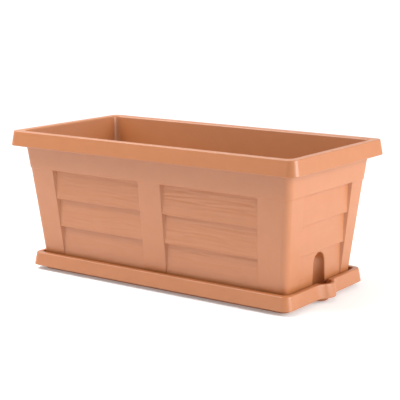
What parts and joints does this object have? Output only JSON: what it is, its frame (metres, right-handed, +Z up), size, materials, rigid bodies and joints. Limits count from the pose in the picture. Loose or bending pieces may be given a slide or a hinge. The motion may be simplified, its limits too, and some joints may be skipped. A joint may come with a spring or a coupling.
{
  "type": "self watering planter",
  "caption": "Rectangular self-watering planter box with board-relief panels, standing in a reservoir tray with a filling spout, over a false floor with wick cups.",
  "frame": {"origin": "middle of the footprint, on the ground", "axes": "+X towards the filling spout, -Y towards the front long side, +Z up"},
  "size_m": [0.6094, 0.3088, 0.2597],
  "materials": {
    "terracotta_plastic": "satin",
    "dark_plastic": "matte"
  },
  "bodies": {
    "tray": {"reservoir_tray": "terracotta_plastic"},
    "box": {"planter_box": "terracotta_plastic"},
    "insert": {"separator_grid": "dark_plastic", "wick_cup_1": "dark_plastic", "wick_cup_2": "dark_plastic", "wick_cup_3": "dark_plastic", "wick_cup_4": "dark_plastic"}
  },
  "joints": [
    {"name": "lift_box", "type": "slide", "parent": "tray", "child": "box", "axis": [0, 0, 1], "range_m": [0, 0.12]},
    {"name": "lift_insert", "type": "slide", "parent": "box", "child": "insert", "axis": [0, 0, 1], "range_m": [0, 0.27]}
  ]
}
